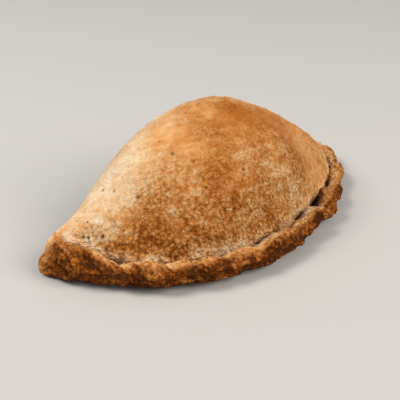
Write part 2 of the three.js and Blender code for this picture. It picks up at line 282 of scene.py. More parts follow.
# %% The rope and the ridge at each section
def section_sizes():
    """The rope's half width, half height and clearance, and the ridge's height, at each section.

    The rope keeps its width square to its own line, so its width along a section is divided by
    the sine of the angle between the two. The ridge always stands a little above the rope.
    """
    travel = np.gradient(rim, axis=0)
    travel /= np.linalg.norm(travel, axis=1)[:, None]
    across = inward[:, 1] * travel[:, 0] - inward[:, 0] * travel[:, 1]
    size = 1 - (1 - SLIM_RIM_SCALE) * slimming
    half_width = RIM_HALF_WIDTH * size / np.maximum(across, LEAST_ACROSS)
    half_width = half_width * (1 + BLUNT_WIDER * bell(place, BLUNT_WIDER_AT, BLUNT_WIDER_REACH))
    half_width = np.minimum(half_width, width * RIM_WIDTH_LIMIT)
    half_height = curve_through(RIM_PLACES, RIM_HALF_HEIGHTS, place) * size * taper
    settle = 1 - BLUNT_REST * bell(place, BLUNT_REST_AT, BLUNT_REST_REACH)
    clearance = RIM_CLEARANCE * taper * settle
    ridge = np.maximum(
        curve_through(RIDGE_SHARES, RIDGE_HEIGHTS, share) * taper,
        clearance + half_height + RIDGE_OVER_RIM * half_height,
    )
    return half_width, half_height, clearance, ridge


# %% The plain skin
def plain_skin():
    """The grid of points (section, step round it, xyz), with each column's zone and share of it.

    Out is the way from the rim's line towards the fold, and up is the height. The rope is an
    ellipse, from its foot round its outer side to the crease. The dome is a quarter ellipse up to
    the ridge and one down to the fold, the first raised to a power of 1 to 1.9 towards the slim
    tip, where its foot is hollow. The fold is a quarter ellipse, and the underside is level. Near
    each tip everything rises by a quarter circle, so that the tip ends a little off the floor.
    """
    half_width, half_height, clearance, ridge = (size[:, None] for size in section_sizes())
    whole = width[:, None]
    fold_height = np.minimum(FOLD_HEIGHT, ridge / 2)
    tuck = np.minimum(FOLD_TUCK, whole / 4)

    round_rim = np.linspace(0, 1, RIM_STEPS + 1)
    angle = np.radians(-90 - round_rim * (270 - CREASE_ANGLE))
    rim_out = half_width * (1 + np.cos(angle))
    rim_up = clearance + half_height + half_height * np.sin(angle)

    round_dome = np.linspace(0, 1, DOME_STEPS + 1)[1:] ** CREASE_DENSITY
    angle = np.pi * round_dome
    crease_out, crease_up = rim_out[:, -1:], rim_up[:, -1:]
    ridge_out = crease_out + (whole - crease_out) * RIDGE_PLACE
    front = angle <= np.pi / 2
    dome_out = ridge_out - np.where(front, ridge_out - crease_out, whole - ridge_out) * np.cos(angle)
    foot = np.where(front, crease_up, fold_height)
    steepness = 1 + SLIM_SOFTNESS * slimming[:, None] * front
    dome_up = foot + (ridge - foot) * np.sin(angle) ** steepness

    round_fold = np.linspace(0, 1, FOLD_STEPS + 1)[1:]
    angle = np.pi / 2 * round_fold
    fold_out = whole - tuck * (1 - np.cos(angle))
    fold_up = fold_height * (1 - np.sin(angle))

    round_under = np.linspace(0, 1, UNDER_STEPS + 1)[1:-1]
    under_out = (whole - tuck) + (rim_out[:, :1] - whole + tuck) * round_under
    under_up = clearance * smooth(*UNDERSIDE_RISE, round_under)

    to_tip = np.minimum(place, rim_length - place)
    keel = TIP_KEEL * (1 - quarter(to_tip / TIP_KEEL_LENGTH))
    out = np.concatenate([rim_out, dome_out, fold_out, under_out], 1)
    up = np.concatenate([rim_up, dome_up, fold_up, under_up], 1) + keel[:, None]
    plan = rim[:, None, :] + inward[:, None, :] * out[..., None]
    columns = [RIM_STEPS + 1, DOME_STEPS, FOLD_STEPS, UNDER_STEPS - 1]
    zone = np.repeat(["rim", "dome", "fold", "under"], columns)
    part = np.concatenate([round_rim, round_dome, round_fold, round_under])
    return np.concatenate([plan, up[..., None]], -1), zone, part


skin, zone, part = plain_skin()
in_rim, in_dome, in_fold, in_under = (zone == name for name in ("rim", "dome", "fold", "under"))
print("grid:", skin.shape[0], "sections of", skin.shape[1], "points")


# %% Where each point is on the skin
def outward(grid):
    """Each point's outward normal: the cross product of the grid's two directions."""
    onward = np.gradient(grid, axis=0)
    around = (np.roll(grid, -1, 1) - np.roll(grid, 1, 1)) / 2
    normal = np.cross(onward, around)
    return normal / np.maximum(np.linalg.norm(normal, axis=-1, keepdims=True), 1e-9)


normal = outward(skin)
crease = skin[:, RIM_STEPS : RIM_STEPS + 1]
to_crease = np.linalg.norm(skin - crease, axis=-1)
place_2d = place[:, None]
taper_2d = taper[:, None]
# The place round a section, 0 to 1 round the rim, 1 to 2 over the dome, 2 to 3 round the fold.
round_2d = (part + 1.0 * in_dome + 2.0 * in_fold + 3.0 * in_under)[None, :]
# The same in millimetres, by adding up the steps round each section from the crease.
steps = np.linalg.norm(np.diff(skin, axis=1), axis=-1)
girth = np.concatenate([np.zeros((SECTIONS + 1, 1)), np.cumsum(steps, axis=1)], 1)
girth = girth - girth[:, RIM_STEPS : RIM_STEPS + 1]
surface = np.stack([np.broadcast_to(place_2d, girth.shape), girth, np.zeros_like(girth)], -1)
print(f"longest way round a section from the crease: {girth.max():.0f} mm")

# %% [markdown]
# ## The relief that the solid has too
#
# The rim is thirteen folds of dough, each a broad hump between two narrow valleys that slant
# across the rope. The crease is torn in places, a few knobs stand out, and the whole skin waves a
# little. Sculpting could make all this by hand, but each form here is a formula of the place
# along the rim and round the section, which the solid follows as well.

# %% Relief sizes
CRIMPS = [  # where the fold starts along the rim, its slant round the rope in mm, its swell
    (0, 0, 0.8),
    (35, 46, 0.8),
    (58, 2, 0.9),
    (87, 18, 0.7),
    (106, 18, 0.5),
    (120, 20, 0.6),
    (142, 24, 0.9),
    (180, -4, 0.9),
    (209, -8, 1.3),
    (235, 0, 1.2),
    (258, 36, 0.9),
    (298, 16, 1.0),
    (332, 12, 0.8),
]
CRIMP_DEPTH = 3.0
CRIMP_LEVEL = 0.85  # the share of a hump's rise that lies below the plain rope
CRIMP_SKEW, CRIMP_FULLNESS = 1.8, 2.5
CRIMP_PIVOT = 0.6  # the place round the rope where a slanted fold starts at its stated place
BLUNT_END_FADE, SLIM_END_FADE, RIM_FOOT_FADE = (2, 14), (0, 40), (0, 0.25)  # relief comes in here
TEARS = [  # place, half length, depth, half width, offset from the crease towards the rope
    (60, 5, 3.5, 2.8, 0),
    (160, 14, 2.5, 2, 0),
    (193, 4, 4.5, 2.4, 1),
    (222, 8, 11, 3.6, 3),
    (268, 20, 3, 1.8, 0.5),
]
TEAR_LEAN = 0.5
RIM_GIRTH, DOME_GIRTH = 42, 150  # about the length of the way round the rope, and over the dome
KNOBS = [  # place along the rim, place round the section, radius, rise
    (86, 0.85, 6, -2),
    (127, 1.06, 8, 1.8),
    (150, 0.35, 13, 2.2),
    (200, 0.22, 9, -1.8),
    (201, 0.54, 5, 2.2),
    (225, 0.3, 8, 2),
    (232, 0.86, 3.5, 3),
    (240, 0.5, 6, 1.2),
    (258, 1.33, 7, 2.5),
]
WAVE_SIZE, WAVE_HEIGHT = 46, 1.5
LUMP_SIZE, LUMP_HEIGHT, RIM_LUMP_HEIGHT = 15, 0.6, 1.0
PUCKER_PITCH, PUCKER_HEIGHT, PUCKER_REACH, PUCKER_ROOT = 7.5, 1.1, 8, 3
PUCKER_WANDER, PUCKER_WANDER_SIZE = 5, 20
GATHER_MEAN, GATHER_SPREAD, GATHER_SIZE = 0.6, 0.4, 25


# %% Crimps, knobs and tears
def crimp_along():
    """Which fold of the rim each point is on, and the share of that fold's length before it."""
    slanted = [place_2d + slant * (round_2d - CRIMP_PIVOT) for _, slant, _ in CRIMPS]
    which = sum((slanted[k] >= CRIMPS[k][0]).astype(int) for k in range(1, len(CRIMPS)))
    starts = np.array([start for start, _, _ in CRIMPS] + [rim_length])
    slants = np.array([slant for _, slant, _ in CRIMPS])
    here = place_2d + slants[which] * (round_2d - CRIMP_PIVOT)
    return which, np.clip((here - starts[which]) / (starts[which + 1] - starts[which]), 0, 1)


def crimp_height(which, along):
    """1 - |2 a^skew - 1|^fullness over the share a of each fold, times that fold's swell."""
    rise = 1 - np.abs(2 * along**CRIMP_SKEW - 1) ** CRIMP_FULLNESS
    swell = np.array([swell for _, _, swell in CRIMPS])
    return CRIMP_DEPTH * swell[which] * (rise - CRIMP_LEVEL)


def knob_height():
    """Round bells that stand on the skin, in millimetres along the rim and round the section."""
    total = 0
    for at, where, radius, rise in KNOBS:
        sideways = (round_2d - where) * (DOME_GIRTH if where > 1 else RIM_GIRTH)
        total = total + rise * np.exp(-((place_2d - at) ** 2 + sideways**2) / radius**2)
    return total * (in_rim | in_dome)


def tear_pull():
    """How deep the tears pull each point down: flat-topped along the crease, bells across it.

    The depth times exp(-(d / half length)⁴) along the rim, times a bell of the distance to a line
    that runs beside the crease, at the tear's offset.
    """
    total = 0
    for at, half_length, depth, half_width, offset in TEARS:
        aside = np.concatenate([inward, np.zeros((SECTIONS + 1, 1))], 1)[:, None, :]
        distance = np.linalg.norm(skin - (crease - offset * aside), axis=-1)
        lengthwise = np.exp(-(((place_2d - at) / half_length) ** 4))
        total = total + depth * lengthwise * bell(distance, 0, half_width)
    return total * (in_rim | in_dome)


# %% The rope's crimps and lumps
crimp, crimp_share = crimp_along()
lumps = unevenness(skin, LUMP_SIZE, SEED["lumps"])
rim_ends = smooth(*BLUNT_END_FADE, place_2d) * smooth(*SLIM_END_FADE, rim_length - place_2d)
rim_relief = crimp_height(crimp, crimp_share) * rim_ends + RIM_LUMP_HEIGHT * lumps * taper_2d
rim_relief = smooth(*RIM_FOOT_FADE, part) * rim_relief
print(f"{len(CRIMPS)} crimps, from {rim_relief.min():.1f} to {rim_relief.max():.1f} mm")

# %% The dome's waves and puckers, and the knobs and tears
waves = (WAVE_HEIGHT * unevenness(skin, WAVE_SIZE, SEED["waves"]) + LUMP_HEIGHT * lumps) * taper_2d
along_rim = np.stack([place, 0 * place, 0 * place], -1)
wander = PUCKER_WANDER * swells(along_rim, PUCKER_WANDER_SIZE, SEED["pucker_phase"])
phase = 2 * np.pi * place / PUCKER_PITCH + wander
gathers = GATHER_MEAN + GATHER_SPREAD * swells(skin, GATHER_SIZE, SEED["gathers"])
gathers = gathers * smooth(0, PUCKER_ROOT, to_crease) * np.exp(-to_crease / PUCKER_REACH)
puckers = PUCKER_HEIGHT * np.sin(phase)[:, None] * gathers
relief = in_rim * rim_relief + in_dome * (waves + puckers) + in_fold * waves * (1 - part**2)
relief = relief + knob_height()
pull = tear_pull()
print(f"relief from {relief.min():.1f} to {relief.max():.1f} mm, deepest tear {pull.max():.1f} mm")

# %% [markdown]
# ## The fine relief of baked dough
#
# Steam leaves pits and small blisters in the skin, the dome is pebbled where it toasts, and the
# rolled rim, which was handled, is crumbly. All of it is real geometry down to about a millimetre,
# so it shows in the outline too. What is finer is left to the material's bump.

# %% Fine relief sizes
PITS = [  # place along the rim, place round the section, radius, depth
    (69, 1.48, 0.9, 1.3),
    (73, 1.42, 0.8, 1.2),
    (82, 1.32, 1.0, 1.5),
    (116, 1.38, 1.0, 1.6),
    (124, 1.32, 0.9, 1.2),
    (142, 1.25, 0.9, 1.2),
    (152, 1.23, 1.0, 1.6),
    (191, 1.24, 0.8, 1.0),
    (205, 1.13, 1.1, 1.6),
    (54, 1.20, 1.0, 1.4),
    (42, 1.22, 1.0, 1.5),
    (45, 1.20, 0.9, 1.4),
]
PIT_CELL, PIT_RADIUS, PIT_DEPTH, PIT_SHARE = 10, 1.6, 1.0, 0.4
BLISTER_CELL, BLISTER_RADIUS, BLISTER_HEIGHT, BLISTER_SHARE = 6, 2.2, 0.8, 0.45
PEBBLE_CELL, PEBBLE_RADIUS, PEBBLE_HEIGHT = 3.4, 2.5, 0.7
PEBBLE_PATCH_SIZE, PEBBLE_PATCH_FADE, PEBBLE_CREASE_FADE = 30, (-0.6, 0.5), (2, 9)
PEBBLES_HIGH, PEBBLES_MORE_LOW, PEBBLE_LOW_FADE = 0.4, 1.5, (1.15, 1.40)
STREAK_LENGTH, STREAK_WIDTH, STREAK_HEIGHT = 9, 2.2, 0.18
STRAW_WIDTH, STRAW_LENGTH, STRAW_HEIGHT, STRAW_REACH = 2.0, 9, 1.2, 10
STRAW_ROOT_FADE, STRAW_PLACE_FADE = (0.5, 2), (30, 60)
FIBRE_SLANT, FIBRE_WIDTH, FIBRE_LENGTH, FIBRE_HEIGHT = 36, 2.8, 11, 0.45
FIBRE_FOLD_STEP = 7.3  # sets the pattern of one fold of the rim apart from the next one's
CRUMB_SIZE, CRUMB_HEIGHT, SMALL_CRUMBS = 5, 1.25, 0.5
GRIT_CELL, GRIT_RADIUS, GRIT_HEIGHT = 2.8, 2.0, 0.8
MEAN_SPOT = 0.4  # about the mean of close-set spots and crests, taken off to keep the skin's level
RIM_FINE_FADE = (0.02, 0.2)


# %% Large pits at their own places
def named_pits():
    """The few large pits, as round bells at their own places on the skin, in millimetres deep."""
    total = 0
    for at, where, radius, depth in PITS:
        row = int(np.argmin(np.abs(place - at)))
        column = int(np.argmin(np.abs(round_2d[0] - where)))
        distance = np.linalg.norm(skin - skin[row, column], axis=-1)
        total = total + depth * bell(distance, 0, radius)
    return total


# %% Pits, blisters and pebbles on the dome
pit = PIT_DEPTH * spots(skin, PIT_CELL, PIT_RADIUS, SEED["pits"], PIT_SHARE) + named_pits()
blister = spots(skin, BLISTER_CELL, BLISTER_RADIUS, SEED["blisters"], BLISTER_SHARE)
pebbly = smooth(*PEBBLE_PATCH_FADE, swells(skin, PEBBLE_PATCH_SIZE, SEED["pebble_patches"]))
pebbly = pebbly * smooth(*PEBBLE_CREASE_FADE, to_crease)
pebbly = pebbly * (PEBBLES_HIGH + PEBBLES_MORE_LOW * (1 - smooth(*PEBBLE_LOW_FADE, round_2d)))
pebble = spots(skin, PEBBLE_CELL, PEBBLE_RADIUS, SEED["pebbles"]) * pebbly
streak = swells(surface / [STREAK_LENGTH, STREAK_WIDTH, 1], 1, SEED["streaks"])
# Narrow straws of dough stand up the dome from the crease, where it was stretched.
straw = ridged(surface / [STRAW_WIDTH, STRAW_LENGTH, 1], 1, SEED["straws"])
straw_fade = np.exp(-to_crease / STRAW_REACH) * smooth(*STRAW_ROOT_FADE, to_crease)
straw_fade = straw_fade * smooth(*STRAW_PLACE_FADE, place_2d)
dome_fine = BLISTER_HEIGHT * blister + PEBBLE_HEIGHT * (pebble - MEAN_SPOT * pebbly)
dome_fine = dome_fine + STREAK_HEIGHT * streak + STRAW_HEIGHT * straw * straw_fade - pit
print(f"dome's fine relief from {dome_fine.min():.2f} to {dome_fine.max():.2f} mm")

# %% Crumbs, grit and fibres on the rope
# The rope's fibres run aslant, round it and onward, so that it looks twisted.
onward = place_2d + FIBRE_SLANT * (round_2d - CRIMP_PIVOT)
round_rope = round_2d * RIM_GIRTH / FIBRE_LENGTH + 0 * onward
twisted = np.stack([onward / FIBRE_WIDTH, round_rope, crimp * FIBRE_FOLD_STEP], -1)
fibre = swells(twisted, 1, SEED["fibres"])
small_crumb = ridged(skin, CRUMB_SIZE / 2, SEED["small_crumbs"])
crumb = (ridged(skin, CRUMB_SIZE, SEED["crumbs"]) + SMALL_CRUMBS * small_crumb) / (1 + SMALL_CRUMBS)
grit = spots(skin, GRIT_CELL, GRIT_RADIUS, SEED["grit"])
rim_fine = CRUMB_HEIGHT * (crumb - MEAN_SPOT) + GRIT_HEIGHT * (grit - MEAN_SPOT)
rim_fine = rim_fine + FIBRE_HEIGHT * fibre
print(f"rope's fine relief from {rim_fine.min():.2f} to {rim_fine.max():.2f} mm")

# %% All the fine relief
on_dome = (in_dome | in_fold) * taper_2d * np.where(in_fold, 1 - part**2, 1.0)
on_rope = in_rim * smooth(*RIM_FINE_FADE, part) * taper_2d
fine = on_dome * dome_fine + on_rope * rim_fine
print(f"fine relief from {fine.min():.2f} to {fine.max():.2f} mm")

# %% [markdown]
# ## Raising the skin
#
# The relief goes out along the normals, the tears go down and in under the dome, and the flat
# underside stays as it is. A Displace modifier could do the first, but not the tears, which
# undercut the skin. The result is set over the solid's middle.

# %% The raised grid
raised = skin + normal * (relief + fine)[..., None]
lean_in = np.concatenate([TEAR_LEAN * inward, -np.ones((SECTIONS + 1, 1))], 1)[:, None, :]
raised = raised + lean_in * pull[..., None]
raised[:, in_under] = skin[:, in_under]
raised[..., 2] = np.maximum(raised[..., 2], 0)
low, high = raised.reshape(-1, 3).min(0), raised.reshape(-1, 3).max(0)
middle = np.array([*((low + high) / 2)[:2], low[2]])
cad_low, cad_high = (np.array(corner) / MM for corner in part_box("calzone"))
raised = raised - middle + np.array([*((cad_low + cad_high) / 2)[:2], cad_low[2]])
print("size", np.round(high - low, 1), "mm, and the solid", np.round(cad_high - cad_low, 1))

# %% [markdown]
# ## Where the crust browned, and where light and shade are painted
#
# Four numbers for each point drive the finish. Toast runs from pale dough to dark brown. The painted
# bounce marks the strip along the crease where light bounces between the rope and the dome's foot: the
# crests of the crumbs there are painted gold, as warm bounced light.
# Hollow marks pits and the bottom of the crease, where crumbs and shade gather, and darkens them with
# painted shade. Coarse tells how grainy the skin is, from the smooth stretched top to the rim. A
# painted image could hold them, but numbers at the mesh's own points need no unwrapping, and each is a
# formula that can be read.
#
# First come patches of more or less toast. Some are where an oven's heat struck the crust more, or
# less, than round them, and some are painted shade and painted light: darker in deep creases, valleys
# and undercuts, and paler on the shaded right flank.

# %% Browned patches
TOAST_AND_SHADING = [  # place along the rim, place round the section, reach along, reach round in mm, toast
    (187, 1.42, 12, 8, 0.34),
    (225, 1.37, 20, 12, 0.14),
    (165, 1.39, 34, 10, 0.05),
    (8, 1.40, 9, 24, 0.16),
    (30, 1.42, 16, 20, 0.10),
    (98, 1.38, 26, 16, -0.09),
    (119, 1.34, 13, 7, -0.08),
    (126, 1.46, 16, 10, -0.07),
    (235, 1.31, 16, 14, -0.10),
    (264, 1.24, 14, 12, -0.10),
    (160, 1.25, 10, 11, -0.12),
    (42, 1.06, 9, 6, 0.12),
    (90, 1.26, 22, 12, 0.11),
    (132, 1.22, 16, 11, 0.14),
    (80, 1.17, 20, 10, 0.18),
    (107, 1.11, 9, 7, 0.14),
    (72, 1.10, 18, 8, 0.40),
    (42, 1.18, 13, 9, -0.11),
    (25, 1.07, 8, 10, -0.16),
    (93, 1.04, 7, 5, 0.34),
    (82, 1.03, 7, 6, -0.24),
    (116, 1.065, 14, 7, 0.30),
    (105, 1.03, 5, 6, -0.26),
    (124, 1.02, 9, 5, -0.44),
    (132, 1.07, 7, 5, 0.17),
    (127, 1.15, 8, 5, -0.08),
    (160, 1.07, 5, 7, 0.36),
    (178, 1.05, 8, 6, 0.10),
    (156, 1.12, 9, 6, -0.08),
    (200, 1.10, 12, 8, -0.08),
    (206, 1.20, 8, 8, 0.14),
    (258, 1.06, 16, 8, 0.18),
    (232, 1.14, 18, 12, -0.10),
]
RIM_TOAST_AND_SHADING = [  # the same for the rope
    (25, 0.85, 6, 7, -0.24),
    (34, 0.84, 9, 6, 0.20),
    (36, 0.65, 7, 6, 0.38),
    (40, 0.49, 9, 5, 0.24),
    (12, 0.38, 9, 7, 0.16),
    (15, 0.64, 7, 9, 0.07),
    (46, 0.66, 5, 6, -0.12),
    (44, 0.17, 26, 4, -0.14),
    (60, 0.52, 8, 9, 0.34),
    (60, 0.76, 5, 5, -0.22),
    (66, 0.70, 4, 6, 0.26),
    (87, 0.54, 10, 8, 0.40),
    (106, 0.90, 6, 5, 0.20),
    (106, 0.48, 9, 7, 0.38),
    (120, 0.28, 9, 5, 0.14),
    (121, 0.68, 8, 6, 0.28),
    (133, 0.60, 9, 12, -0.14),
    (126, 0.95, 9, 6, -0.20),
    (152, 0.48, 12, 10, 0.34),
    (150, 0.86, 16, 6, -0.28),
    (88, 0.87, 10, 5, -0.18),
    (157, 0.63, 7, 6, 0.16),
    (112, 0.62, 7, 7, 0.12),
    (178, 0.58, 8, 8, 0.24),
    (199, 0.52, 8, 6, 0.42),
    (206, 0.86, 17, 7, -0.58),
    (230, 0.90, 6, 6, 0.46),
    (234, 0.56, 18, 8, 0.30),
    (252, 0.89, 8, 7, -0.32),
    (252, 0.50, 9, 8, 0.28),
    (288, 0.68, 11, 9, 0.20),
    (318, 0.66, 16, 9, 0.24),
]


def toast_and_shading_patches(patches, girth_length):
    """Soft oval patches, in millimetres along the rim and round the section."""
    total = 0
    for at, where, reach_along, reach_round, amount in patches:
        along = (place_2d - at) / reach_along
        sideways = (round_2d - where) * girth_length / reach_round
        total = total + amount * np.exp(-(along**2) - sideways**2)
    return total


dome_patches = toast_and_shading_patches(TOAST_AND_SHADING, DOME_GIRTH)
rim_patches = toast_and_shading_patches(RIM_TOAST_AND_SHADING, RIM_GIRTH)
print(len(TOAST_AND_SHADING), "patches on the dome and", len(RIM_TOAST_AND_SHADING), "on the rope")

# %% [markdown]
# The dome starts from an even toast. Noise of four sizes mottles it, finer on the low skin above the
# crease, which baked crumbly. The side that faces the key light, to the upper left, is paler, partly
# paler dough and partly painted light, and the side away from it is a little darker with painted shade.
# The skin that the rope shelters and the stretched straws stay pale, partly paler dough and partly
# painted light against the crease's shade, and both tips brown. The fold browns where it rests.

# %% Sizes of the dome's toast
DOME_TOAST = 0.515
# The pale side faces the key light: its loss of toast is partly paler dough and partly painted light.
PALE_AND_KEY_LIT_SIDE = [-0.68, 0.73]  # the plan direction in which the skin browned least
PALE_SIDE_LOSS, PALE_SIDE_FADE = 0.30, (0.0, 0.65)
SHADED_SIDE_TOAST, SHADED_SIDE_FADE = 0.05, (0, 0.8)
LOW_SKIN_FADE, OFF_TIP_FADE = (1.20, 1.38), (3, 24)
MOTTLES = [  # noise, size, seed, toast everywhere, toast added on the low skin
    (unevenness, 34, "broad_mottle", 0.12, 0),
    (swells, 3.5, "small_mottle", 0.06, 0),
    (unevenness, 13, "mottle", 0.08, 0.05),
    (unevenness, 7, "low_mottle", 0, 0.13),
]
SLIM_MOTTLE_LOSS, SLIM_MOTTLE_FADE = 0.65, (185, 230)
RIDGE_PALER, RIDGE_PALER_AT, RIDGE_PALER_REACH = 0.04, 1.47, 0.07
# Pebbles and blisters are paler on top, partly drier dough and partly a painted highlight.
PEBBLE_PALE_AND_LIT, BLISTER_PALE_AND_GLINT, STRAW_PALER, STREAK_TOAST = 0.08, 0.10, 0.24, 0.05
# CREASE_PALER, STRAW_PALER and LIP_PALER lighten the skin by the crease: partly paler dough, partly
# painted light against the crease's shade.
CREASE_PALER, CREASE_PALER_REACH = 0.12, 8
LIP_PALER, LIP_AT, LIP_REACH, LIP_FADE = 0.14, 2, 4, (140, 155)
TIP_BACK_TOAST, TIP_BACK_REACH, TIP_BACK_FADE = 0.20, 34, (1.65, 1.9)
SLIM_TIP_TOAST, SLIM_TIP_REACH = 0.22, 26
BLUNT_TIP_TOAST, BLUNT_TIP_REACH = 0.42, 17
FOLD_TOAST, FOLD_TOAST_FADE, FOLD_PATCHES, FOLD_PATCH_SIZE = 0.20, (1.94, 2.5), 1.2, 22
FAR_MOTTLE, FAR_MOTTLE_SIZE, FAR_MOTTLE_FADE = 0.14, 24, (1.5, 1.7)
TOAST_KNEE, PAST_KNEE = 0.64, 0.3  # toast above the knee counts for this share of itself
# side: how far the skin faces the key light, paler with painted light where high, darker with painted
# shade where low.
side = normal[..., 0] * PALE_AND_KEY_LIT_SIDE[0] + normal[..., 1] * PALE_AND_KEY_LIT_SIDE[1]
low_skin = 1 - smooth(*LOW_SKIN_FADE, round_2d)
off_tip = smooth(*OFF_TIP_FADE, place_2d)


# %% Toast on the dome
def mottled():
    """The noise of all four sizes, which is evener towards the slim tip, less a pale band."""
    total = 0
    for pattern, size, seed, everywhere, low in MOTTLES:
        total = total + (everywhere + low * low_skin) * pattern(skin, size, SEED[seed])
    total = total * (1 - SLIM_MOTTLE_LOSS * smooth(*SLIM_MOTTLE_FADE, place_2d))
    return total - RIDGE_PALER * bell(round_2d, RIDGE_PALER_AT, RIDGE_PALER_REACH)


def toast_of_dome():
    """The dome's toast: a level, the mottle and patches, and then what is paler or browner."""
    total = DOME_TOAST - PALE_SIDE_LOSS * smooth(*PALE_SIDE_FADE, side) + mottled()
    # Paler pebble and blister tops: partly drier dough, partly a painted highlight.
    total = total + dome_patches - PEBBLE_PALE_AND_LIT * pebble - BLISTER_PALE_AND_GLINT * blister
    # Paler skin by the crease: partly paler dough, partly painted light against its shade.
    total = total - CREASE_PALER * off_tip * np.exp(-to_crease / CREASE_PALER_REACH)
    total = total + STREAK_TOAST * streak - STRAW_PALER * straw * straw_fade
    tip_back = bell(place_2d, 0, TIP_BACK_REACH) * smooth(*TIP_BACK_FADE, round_2d)
    total = total + TIP_BACK_TOAST * tip_back
    total = total + SLIM_TIP_TOAST * bell(place_2d, rim_length, SLIM_TIP_REACH)
    # Painted shade on the side turned away from the key light.
    total = total + SHADED_SIDE_TOAST * smooth(*SHADED_SIDE_FADE, -side)
    # Past the middle the skin's lip over the crease stays pale, partly paler dough and partly painted
    # light against the crease's shade.
    total = total - LIP_PALER * bell(to_crease, LIP_AT, LIP_REACH) * smooth(*LIP_FADE, place_2d)
    fold_patches = 1 + FOLD_PATCHES * swells(skin, FOLD_PATCH_SIZE, SEED["fold_patches"])
    total = total + FOLD_TOAST * smooth(*FOLD_TOAST_FADE, round_2d) * fold_patches
    far_mottle = unevenness(skin, FAR_MOTTLE_SIZE, SEED["far_mottle"])
    total = total + FAR_MOTTLE * far_mottle * smooth(*FAR_MOTTLE_FADE, round_2d)
    total = np.minimum(total, TOAST_KNEE + PAST_KNEE * np.maximum(total - TOAST_KNEE, 0))
    return total + BLUNT_TIP_TOAST * bell(place_2d, 0, BLUNT_TIP_REACH)


dome_toast = toast_of_dome()
print(f"dome's toast from {dome_toast.min():.2f} to {dome_toast.max():.2f}")

# %% [markdown]
# The rope is thin and stands free, so it is the darkest part. Its foot, nearest the hot floor of the
# oven, is nearly burnt, and its low side along the near stretch is darker too; both are partly painted
# shade under the rope's overhang. Its top edge along the crease is paler, partly paler dough and partly
# painted light where the top is lit.

# %% Toast on the rope and the underside
RIM_TOAST, RIM_MOTTLE, RIM_MOTTLE_SIZE = 0.56, 0.18, 14
CRUMB_PALER, FIBRE_PALER, BITS_TOAST, BITS_SIZE = 0.08, 0.06, 0.14, 3.2
CRIMP_TOAST, CRIMP_MIDDLE = 0.16, 0.5
RIM_TOP_PALER_AND_LIT = [(0.16, (0.55, 0.78)), (0.10, (0.76, 0.95))]
SLIM_ROPE_PALER, SLIM_ROPE_FADE = 0.14, (270, 350)
RIM_FOOT_TOAST_AND_SHADE, RIM_FOOT_HIGH, NEAR_RIM_FROM, NEAR_RIM_TO = 0.25, (0.28, 0.60), (4, 26), (185, 225)
RIM_BASE_TOAST_AND_SHADE, RIM_BASE_HIGH = 0.27, (0.06, 0.26)
UNDER_TOAST, UNDER_MOTTLE, UNDER_MOTTLE_SIZE = 0.58, 0.2, 30
FOLD_INTO_UNDER = (0.4, 1)


def toast_of_rope():
    """The rope's toast: a level, noise, patches, browner humps, a darker foot and low side that are
    partly painted shade, and a paler top that is partly painted light.
    """
    total = RIM_TOAST + RIM_MOTTLE * unevenness(skin, RIM_MOTTLE_SIZE, SEED["rim_mottle"])
    crust_bits = ridged(skin, BITS_SIZE, SEED["crust_bits"])
    total = total - CRUMB_PALER * crumb + BITS_TOAST * crust_bits - FIBRE_PALER * fibre
    hump = crimp_height(crimp, crimp_share) / CRIMP_DEPTH + CRIMP_LEVEL
    total = total + rim_patches + CRIMP_TOAST * (hump - CRIMP_MIDDLE)
    # Paler top: partly paler dough, partly painted light on the lit top and against the crease's shade.
    total = total - off_tip * sum(paler * smooth(*fade, part) for paler, fade in RIM_TOP_PALER_AND_LIT)
    total = total - SLIM_ROPE_PALER * smooth(*SLIM_ROPE_FADE, place_2d)
    # Darker low side and foot: partly baking, partly painted shade under the overhang.
    near_rim = smooth(*NEAR_RIM_FROM, place_2d) * (1 - smooth(*NEAR_RIM_TO, place_2d))
    total = total + RIM_FOOT_TOAST_AND_SHADE * near_rim * (1 - smooth(*RIM_FOOT_HIGH, part))
    return total + RIM_BASE_TOAST_AND_SHADE * (1 - smooth(*RIM_BASE_HIGH, part))


under_toast = UNDER_TOAST + UNDER_MOTTLE * unevenness(skin, UNDER_MOTTLE_SIZE, SEED["under_mottle"])
toast = np.where(in_rim, toast_of_rope(), np.where(in_under, under_toast, dome_toast))
fold_blend = np.where(in_fold, smooth(*FOLD_INTO_UNDER, part), 0.0)
toast = toast * (1 - fold_blend) + under_toast * fold_blend
print(f"toast from {toast.min():.2f} to {toast.max():.2f}")

# %% [markdown]
# The other three numbers are simpler. The painted bounce follows the crease, over the top of the rope
# and the foot of the dome, and fades where a patch darkens them. Hollow comes from the pits and tears
# that are there already, with a thin crack drawn along the crease, and stands for the painted shade in
# them. Coarse is high on the rope and on the low skin above it, and low on the stretched top.

# %% Painted bounce light along the crease
# The GOLDEN sizes shape the painted bounce light: how strong it is on the rope and the dome, where, and
# how uneven.
GOLDEN_ROPE, GOLDEN_ROPE_HIGH, GOLDEN_ROPE_FROM = 0.60, (0.50, 0.80), (24, 44)
GOLDEN_DOME, GOLDEN_DOME_REACH = 0.62, 6
GOLDEN_MIDDLE, GOLDEN_MIDDLE_AT, GOLDEN_MIDDLE_REACH = 0.3, 111, 17
GOLDEN_UNEVEN, GOLDEN_SIZE = 0.5, 9
GOLDEN_LOST, GOLDEN_MOST = (0.08, 0.34), 0.9


